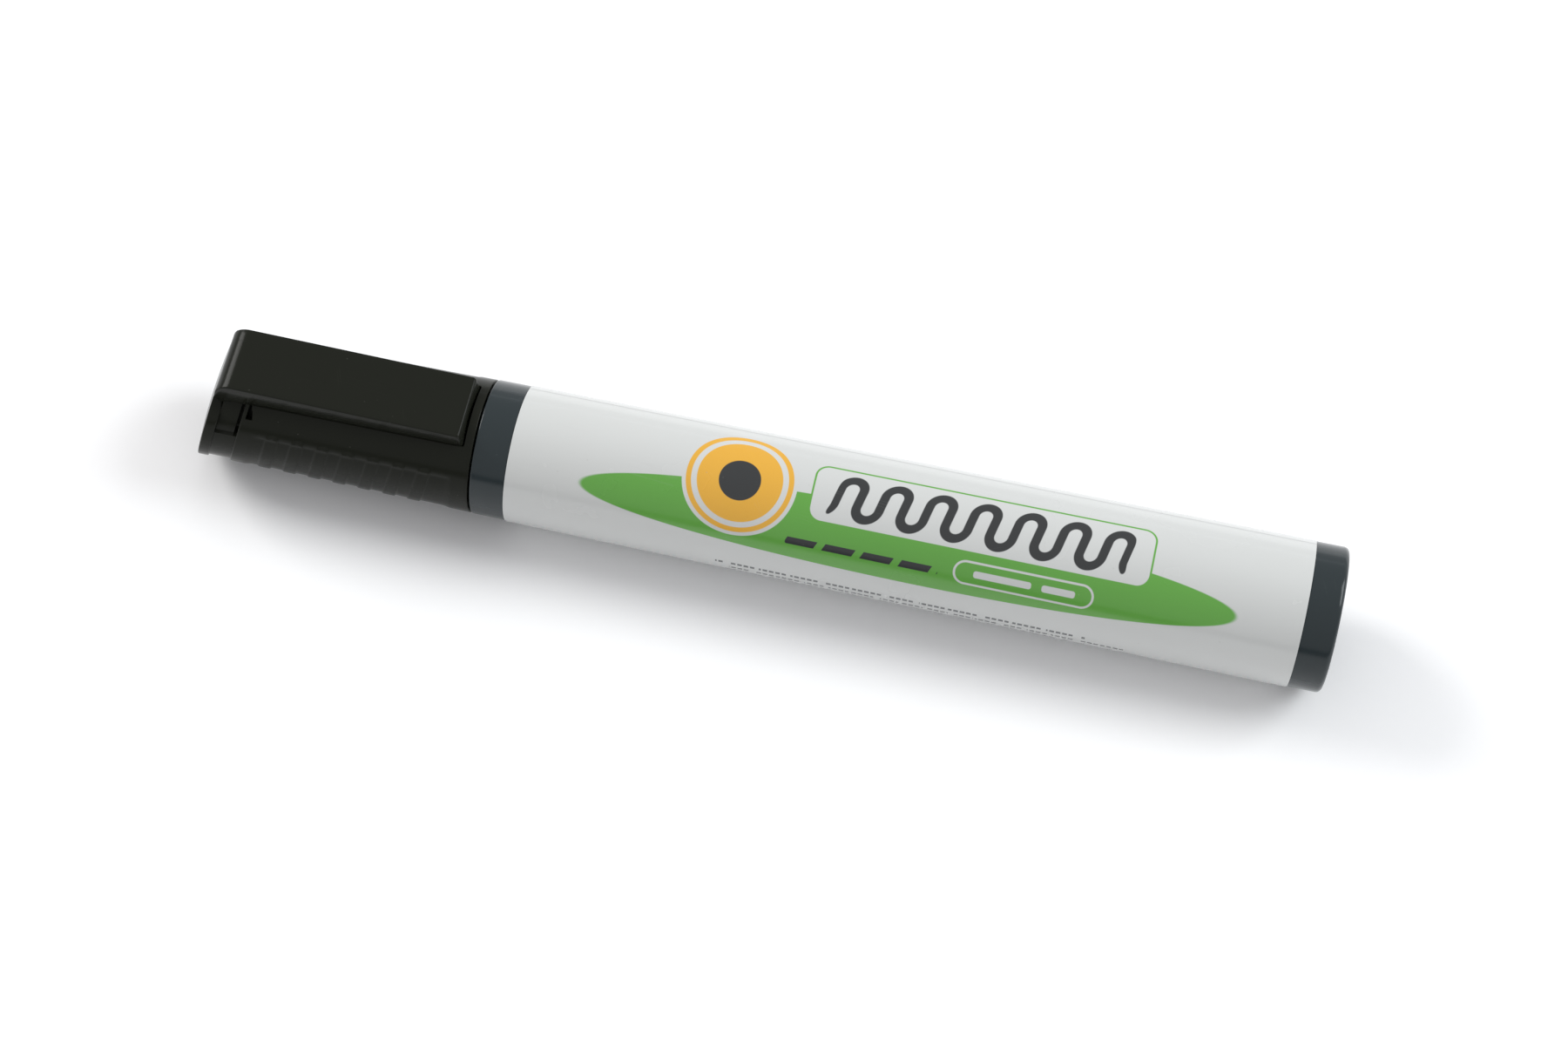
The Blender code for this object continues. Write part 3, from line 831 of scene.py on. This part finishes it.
def capPoint(vert):
    # where a point of the turned blank lies on the moulded shell
    sizes = capShell
    along, across, up = vert.co
    radius = math.hypot(across, up)
    angle = aroundTop(vert)
    side = math.copysign(1, across)
    half, wallColumn = sizes["channelHalf"], sizes["channelColumn"]
    column = round(abs(angle) / (math.tau / sizes["columns"]))
    onNeck = along < sizes["bodyEnd"] + near and radius < sizes["neckRadius"] + near
    onSkin = radius > sizes["skinFrom"] and not onNeck
    if onSkin or onNeck:
        turn = evenedTurn(abs(angle), radius)
        if onNeck and radius * math.cos(turn) > sizes["neckTop"]:
            deep = along > sizes["bodyEnd"] - sizes["grooveWidth"] - near
            radius = min(radius, sizes["grooveRadius"] if deep else sizes["slotRadius"])
        if onSkin and along > sizes["bodyEnd"] + sizes["endBreak"]:
            signed = math.copysign(turn, angle)
            radius += ribHeight(along, signed) - gripDrop(along, signed)
        across, up = side * radius * math.sin(turn), radius * math.cos(turn)
    # channel under the clip: a broken edge, a steep wall and a flat floor
    if onSkin and along < sizes["channelRear"] and column <= wallColumn:
        if column >= wallColumn - 1:
            edge = half + sizes["channelBreak"]
            across = side * (edge if column == wallColumn else half)
            up = math.sqrt(radius ** 2 - edge ** 2)
        elif column == wallColumn - 2:
            across, up = side * (half - near), sizes["channelFloor"]
        else:
            up = min(up, sizes["channelFloor"])
    elif onNeck and column < wallColumn and up > 0:
        up = min(up, sizes["channelFloor"] - sizes["neckGap"])
    # the scoop beside the clip's root is wider at its lower end
    nearEnd = max(1 - abs(along - sizes["scoopTo"]) / sizes["scoopEase"], 0)
    middle = (sizes["scoopLow"] + sizes["scoopHigh"]) / 2
    turnShare = (math.degrees(abs(math.atan2(across, up))) - middle) / (sizes["scoopHigh"] - middle)
    if onSkin and abs(turnShare) < sizes["scoopReach"]:
        along += sizes["scoopWiden"] * nearEnd * max(min(turnShare, 1), -1)
    # the closed end leans, with all but the bore
    lean = sizes["lean"] * (1 - smoothStep(sizes["leanFull"], sizes["leanFrom"], along))
    if radius < sizes["bore"] + 0.2 and along > sizes["boreEnd"] - near:
        lean = 0
    return along + lean * up, across, up


def inScoop(face):
    sizes = capShell
    along, across, up = face.calc_center_median()
    turn = math.degrees(math.atan2(abs(across), up))
    widen = sizes["scoopWiden"] * (smoothStep(sizes["scoopLow"], sizes["scoopHigh"], turn) * 2 - 1)
    return (math.hypot(across, up) > sizes["neckRadius"] and sizes["scoopLow"] < turn < sizes["scoopHigh"]
            and sizes["scoopFrom"] < along - sizes["lean"] * up < sizes["scoopTo"] + widen)


def makeCapShell(looks):
    sizes = capShell
    mouth = capMouth + sizes["mouthReach"]
    grooveEnd = sizes["bodyEnd"] - sizes["grooveWidth"]
    corners = [
        (sizes["boreEnd"], 0, 0), (sizes["boreEnd"], sizes["bore"], 0.4), (mouth, sizes["bore"], 0.15),
        (mouth, capRadius(capMouth), sizes["mouthBreak"]),
        (sizes["bodyEnd"], capRadius(sizes["bodyEnd"]), sizes["endBreak"]),
        (sizes["bodyEnd"], sizes["neckRadius"], 0), (grooveEnd, sizes["neckRadius"], 0),
        (grooveEnd - sizes["grooveLip"], sizes["neckRadius"], 0),
        (sizes["plateInner"], sizes["neckRadius"], 0), (sizes["plateInner"], 0, 0),
    ]
    work = turned(corners, sizes["columns"], [(sizes["bodyEnd"], capMouth, sizes["rings"])])
    for vert in work.verts:
        vert.co = capPoint(vert)
    bmesh.ops.recalc_face_normals(work, faces=work.faces)
    for side in (-1, 1):
        scoop = [face for face in work.faces if face.calc_center_median().y * side > 0 and inScoop(face)]
        pushIn(work, scoop, sizes["scoopDepth"])
    return finishPiece("capShell", work, looks, "cap_body", ["cap_shell"], smoothAngle=32)


clipStrip = {
    "halfWidth": 4.0, "tip": -5.85, "tipTop": 8.61, "plateOuter": -36.4, "plateThickness": 1.3,
    "rootUnderside": 5.87, "tipUnderside": 6.15, "slotRounding": 1.2, "tipSlope": 0.5, "tipSlant": 0.33,
    "plateRadius": 7.5, "dome": 0.45, "foldRadius": 2.2, "foldHeight": 6.9, "evenBelow": 4.6,
    "domeFrom": 4.5, "edgeRounding": 0.16, "cornerRadius": 0.3, "slopeLength": 2.5,
    "flexFrom": -31.5, "flexTo": -26.5,
    "rimPoints": 110, "plateCuts": 28, "foldCuts": 18, "stripCuts": 54, "sideCuts": 18,
}


def clipLines():
    # the clip's outer and inner lines in its middle plane, from the plate's lowest point over the fold to
    # the tip. The way is the height on the plate, and goes on past the fold as a length.
    sizes = clipStrip
    slant = capShell["lean"]
    lean = math.atan(slant)
    radius = sizes["foldRadius"]
    centre = Vector((sizes["plateOuter"] + slant * sizes["foldHeight"] + radius / math.cos(lean),
                     sizes["foldHeight"]))
    plateEnd = sizes["foldHeight"] + radius * math.sin(lean)
    tip = Vector((sizes["tip"], sizes["tipTop"]))
    toTip = tip - centre
    # the strip leaves the fold where it is tangent to the line to the tip
    first, last = math.pi - lean, math.atan2(toTip.y, toTip.x) + math.acos(radius / toTip.length)
    foldEnd = plateEnd + radius * (first - last)
    stripStart = centre + Vector((math.cos(last), math.sin(last))) * radius
    forward = (tip - stripStart).normalized()
    length = foldEnd + (tip - stripStart).length

    def outer(way):
        if way <= plateEnd:
            return Vector((sizes["plateOuter"] + slant * way, way))
        if way <= foldEnd:
            angle = first - (way - plateEnd) / radius
            return centre + Vector((math.cos(angle), math.sin(angle))) * radius
        return stripStart + forward * (way - foldEnd)

    def underside(along):
        share = (along - stripStart.x) / (tip.x - stripStart.x)
        return sizes["rootUnderside"] + (sizes["tipUnderside"] - sizes["rootUnderside"]) * share

    plateInner = sizes["plateOuter"] + sizes["plateThickness"]
    bend, rounding = sizes["evenBelow"], sizes["slotRounding"]
    roundHeight = underside(centre.x) - rounding
    roundCentre = Vector((plateInner + slant * roundHeight + rounding / math.cos(lean), roundHeight))
    roundStart = roundHeight + rounding * math.sin(lean)
    upLength, turnLength = roundStart - bend, rounding * (first - math.pi / 2)
    flatLength = stripStart.x - roundCentre.x

    def inner(way):
        if way <= bend:
            return Vector((plateInner + slant * way, way))
        if way >= foldEnd:
            along = outer(way).x
            return Vector((along, underside(along)))
        done = (way - bend) / (foldEnd - bend) * (upLength + turnLength + flatLength)
        if done < upLength:
            return Vector((plateInner + slant * (bend + done), bend + done))
        if done < upLength + turnLength:
            angle = first - (done - upLength) / rounding
            return roundCentre + Vector((math.cos(angle), math.sin(angle))) * rounding
        along = roundCentre.x + done - upLength - turnLength
        return Vector((along, underside(along)))

    return outer, inner, plateEnd, foldEnd, length


def bendClip(work, lines):
    # lays the flat blank along the clip's two lines, with the dome of its plate and the slope of its tip
    sizes = clipStrip
    outer, inner, plateEnd, foldEnd, length = lines
    flat = sizes["plateThickness"]
    keep = sizes["edgeRounding"] + 0.02
    for vert in work.verts:
        way, across, depth = vert.co.x, vert.co.y, -vert.co.z
        top, bottom = outer(way), inner(way)
        thickness = (top - bottom).length
        # roundings keep their depth where the clip is thicker than the plate
        if depth > flat - keep:
            depth += thickness - flat
        elif depth > keep:
            depth = keep + (depth - keep) / (flat - 2 * keep) * (thickness - 2 * keep)
        share = depth / thickness
        place = top.lerp(bottom, share)
        away = math.hypot(min(way, plateEnd), across) / sizes["plateRadius"]
        dome = sizes["dome"] * max(1 - away ** 2, 0) * (1 - smoothStep(0.2, 0.8, share))
        place.x -= dome * (1 - smoothStep(sizes["domeFrom"], plateEnd, way))
        slope = sizes["tipSlope"] * smoothStep(length - sizes["slopeLength"], length, way)
        place.x += slope * min(share / sizes["tipSlant"], 1)
        vert.co = (place.x, across, place.y)


def makePocketClip(looks):
    sizes = clipStrip
    lines = clipLines()
    plateEnd, foldEnd, length = lines[2:]
    radius, half, rounding = sizes["plateRadius"], sizes["halfWidth"], sizes["cornerRadius"]
    # flat outline: a disc with a long tongue; x is the way along the clip
    work = bmesh.new()
    meet = math.asin(half / radius)
    outline = [(radius * math.cos(angle), radius * math.sin(angle))
               for angle in evenSteps(meet, math.tau - meet, sizes["rimPoints"])]
    for side in (-1, 1):
        corner = [(length - rounding + rounding * math.sin(angle),
                   side * (half - rounding + rounding * math.cos(angle)))
                  for angle in evenSteps(0, math.pi / 2, 5)]
        outline += corner if side < 0 else corner[::-1]
    face = work.faces.new([work.verts.new((way, across, 0)) for way, across in outline])
    solid = bmesh.ops.extrude_face_region(work, geom=[face])["geom"]
    bmesh.ops.translate(work, verts=[item for item in solid if isinstance(item, bmesh.types.BMVert)],
                        vec=(0, 0, -sizes["plateThickness"]))
    bmesh.ops.recalc_face_normals(work, faces=work.faces)
    rims = [edge for edge in work.edges if abs(edge.verts[0].co.z - edge.verts[1].co.z) < 1e-6]
    bmesh.ops.bevel(work, geom=rims, offset=sizes["edgeRounding"], offset_type="OFFSET", segments=4,
                    profile=0.5, affect="EDGES", material=-1, clamp_overlap=True)
    # cuts that let the plate dome and the fold turn, and that divide the strip
    ways = (evenSteps(-radius, plateEnd, sizes["plateCuts"])[1:]
            + evenSteps(plateEnd, foldEnd, sizes["foldCuts"])[1:]
            + evenSteps(foldEnd, length, sizes["stripCuts"])[1:-1])
    cuts = [((way, 0, 0), (1, 0, 0)) for way in ways]
    cuts += [((0, across, 0), (0, 1, 0)) for across in evenSteps(-radius, radius, sizes["sideCuts"])[1:-1]]
    for place, direction in cuts:
        bmesh.ops.bisect_plane(work, geom=list(work.verts) + list(work.edges) + list(work.faces), dist=1e-5,
                               plane_co=place, plane_no=direction)
    bendClip(work, lines)
    bmesh.ops.recalc_face_normals(work, faces=work.faces)
    piece = finishPiece("pocketClip", work, looks, None, ["pocket_clip"], smoothAngle=34)
    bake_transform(piece)
    return piece


studio = {
    "aim": (0.0028, -0.0017, 0.0085), "away": (0.08167, -0.45247, 0.88803), "distance": 0.39661,
    "roll": 2.495, "lens": 52, "sensor": 23.6,
    "floorSize": 6.0, "floorDrop": 0.00005, "floorColour": (0.97, 0.97, 0.975), "floorGrain": 0.985,
    "air": (0.62, 0.62, 0.63), "cardPlace": (0, -0.9, 0.095), "cardSize": (2.4, 0.15),
    "lightsAim": (0, 0, 0.01),
}
# place, size, watts and colour
studioLights = {
    "leftLight": ((-1.20, 0.45, 0.85), (0.7, 0.7), 13, (1.0, 0.99, 0.97)),
    "rightLight": ((1.00, 0.45, 0.90), (0.8, 0.8), 11, (0.94, 0.98, 1.0)),
    "lineLight": ((0.0, 1.30, 0.42), (2.4, 0.035), 0.35, (0.9, 0.97, 1.0)),
}


def areaLight(name, place, size, power, colour):
    light = bpy.data.lights.new(name, "AREA")
    light.shape = "RECTANGLE"
    light.size, light.size_y = size
    light.energy = power
    light.color = colour
    lamp = bpy.data.objects.new(name, light)
    lamp.location = place
    lamp.rotation_euler = (Vector(place) - Vector(studio["lightsAim"])).to_track_quat("Z", "Y").to_euler()
    lamp.visible_camera = False
    bpy.context.scene.collection.objects.link(lamp)


def flatSheet(name, length, height, place, looks):
    # a staged sheet round the object: the floor, or a card
    work = bmesh.new()
    bmesh.ops.create_grid(work, x_segments=1, y_segments=1, size=0.5)
    bmesh.ops.transform(work, matrix=place @ Matrix.Diagonal((length, height, 1, 1)), verts=work.verts)
    mesh = bpy.data.meshes.new(name)
    work.to_mesh(mesh)
    work.free()
    mesh.materials.append(looks)
    sheet = bpy.data.objects.new(name, mesh)
    bpy.context.scene.collection.objects.link(sheet)
    return sheet


def floorLooks():
    looks, tree, shader = newMaterial("paleFloor", Roughness=0.8, Specular_IOR_Level=0.2)
    paper = noiseOn(tree, tree.nodes.new("ShaderNodeTexCoord").outputs["Object"], 900, 3.0)
    low = tuple(value * studio["floorGrain"] for value in studio["floorColour"])
    tree.links.new(mixColour(tree, paper, low, studio["floorColour"]), shader.inputs["Base Color"])
    return looks


def makeCamera():
    camera = bpy.data.cameras.new("camera")
    camera.lens = studio["lens"]
    camera.sensor_fit = "HORIZONTAL"
    camera.sensor_width = studio["sensor"]
    camera.clip_start = 0.01
    holder = bpy.data.objects.new("camera", camera)
    away = Vector(studio["away"]).normalized()
    turn = away.to_track_quat("Z", "Y").to_matrix() @ Matrix.Rotation(math.radians(studio["roll"]), 3, "Z")
    place = Vector(studio["aim"]) + away * studio["distance"]
    holder.matrix_world = Matrix.Translation(place) @ turn.to_4x4()
    bpy.context.scene.collection.objects.link(holder)
    bpy.context.scene.camera = holder


def makeStudio():
    floorPlace = Matrix.Translation((0, 0, -studio["floorDrop"]))
    flatSheet("floor", studio["floorSize"], studio["floorSize"], floorPlace, floorLooks())
    makeCamera()
    for name, (place, size, power, colour) in studioLights.items():
        areaLight(name, place, size, power, colour)
    # a dark card low in front draws the dark line along the plastic's lower side
    cardLooks = newMaterial("darkCard", Base_Color=(0.01, 0.01, 0.01, 1), Roughness=0.9)[0]
    cardPlace = Matrix.Translation(studio["cardPlace"]) @ Matrix.Rotation(math.pi / 2, 4, "X")
    card = flatSheet("card", *studio["cardSize"], cardPlace, cardLooks)
    card.visible_camera = False
    world = bpy.data.worlds.new("air")
    world.use_nodes = True
    world.node_tree.nodes["Background"].inputs["Color"].default_value = (*studio["air"], 1)
    bpy.context.scene.world = world
    bpy.context.scene.view_settings.view_transform = "Standard"
    print("studio ready")


makeStudio()
slate = slateLooks()
black = capLooks()
makeBarrel(slate)
makeLabel(labelLooks())
makeTailPlug(slate)
makeInkCore(coreLooks())
makeCoreWrap(filmLooks())
makeNib(nibLooks())
makeNibHolder(holderLooks())
makeInnerCap(naturalLooks())
makeCapShell(black)
makePocketClip(black)
